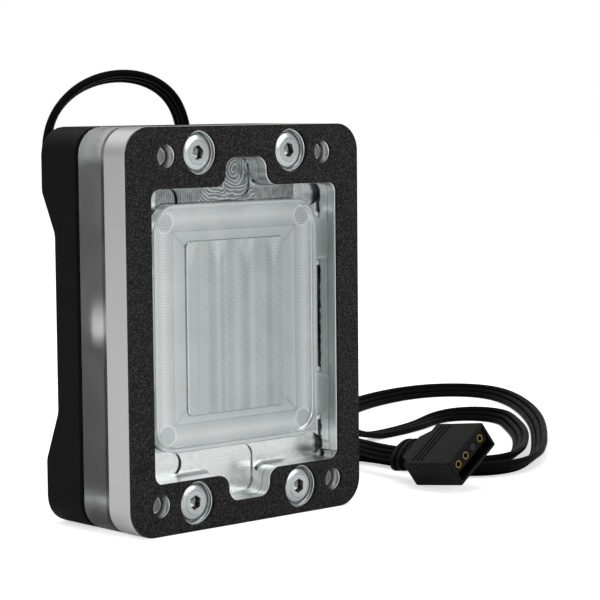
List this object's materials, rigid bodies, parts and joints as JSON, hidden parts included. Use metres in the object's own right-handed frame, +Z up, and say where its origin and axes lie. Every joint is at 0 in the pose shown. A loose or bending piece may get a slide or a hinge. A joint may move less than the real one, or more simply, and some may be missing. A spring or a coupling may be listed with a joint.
{
  "type": "cpu water block",
  "caption": "Rectangular water-cooling block with a milled pocket and contact pad in its metal base, a clear body with hose ports, a black cover and a lead to a small socket.",
  "frame": {"origin": "middle of the block's foot, the short edge it stands on, without its lead", "axes": "+Z up along the block's long side, -Y out of the cold plate towards the processor, +X across the block"},
  "size_m": [0.1803, 0.106, 0.0816],
  "materials": {
    "insulating_film": "fine-grained matt black film",
    "nickel_plated_copper": "milled and nickel plated, satin",
    "clear_acrylic": "clear cast acrylic, polished edges",
    "black_rubber": "matt",
    "stainless_steel": "rolled",
    "anodised_aluminium": "black anodised, satin",
    "bright_steel": "turned, bright",
    "zinc_plated_steel": "zinc plated",
    "solder_mask": "white solder mask on glass-fibre board",
    "led_epoxy": "cast epoxy",
    "black_pvc": "smooth flexible PVC",
    "black_nylon": "moulded, finely eroded",
    "gold_plated_brass": "gold plated"
  },
  "bodies": {
    "root": {"insulating_pad": "insulating_film", "cold_plate": "nickel_plated_copper", "manifold_body": "clear_acrylic", "main_seal": "black_rubber", "jet_plate": "stainless_steel", "top_cover": "anodised_aluminium", "assembly_screw_1": "bright_steel", "assembly_screw_2": "bright_steel", "assembly_screw_3": "bright_steel", "assembly_screw_4": "bright_steel", "mounting_screw_1": "zinc_plated_steel", "mounting_screw_2": "zinc_plated_steel", "mounting_screw_3": "zinc_plated_steel", "mounting_screw_4": "zinc_plated_steel", "led_board": "solder_mask", "led_1": "led_epoxy", "led_2": "led_epoxy", "led_3": "led_epoxy", "led_4": "led_epoxy", "led_5": "led_epoxy", "led_6": "led_epoxy", "cable_grommet": "black_rubber", "lighting_cable": "black_pvc", "connector_housing": "black_nylon", "socket_insert": "black_nylon", "key_plug": "black_nylon", "contact_1": "gold_plated_brass", "contact_2": "gold_plated_brass", "contact_3": "gold_plated_brass", "connector_boot": "black_pvc"}
  },
  "joints": []
}
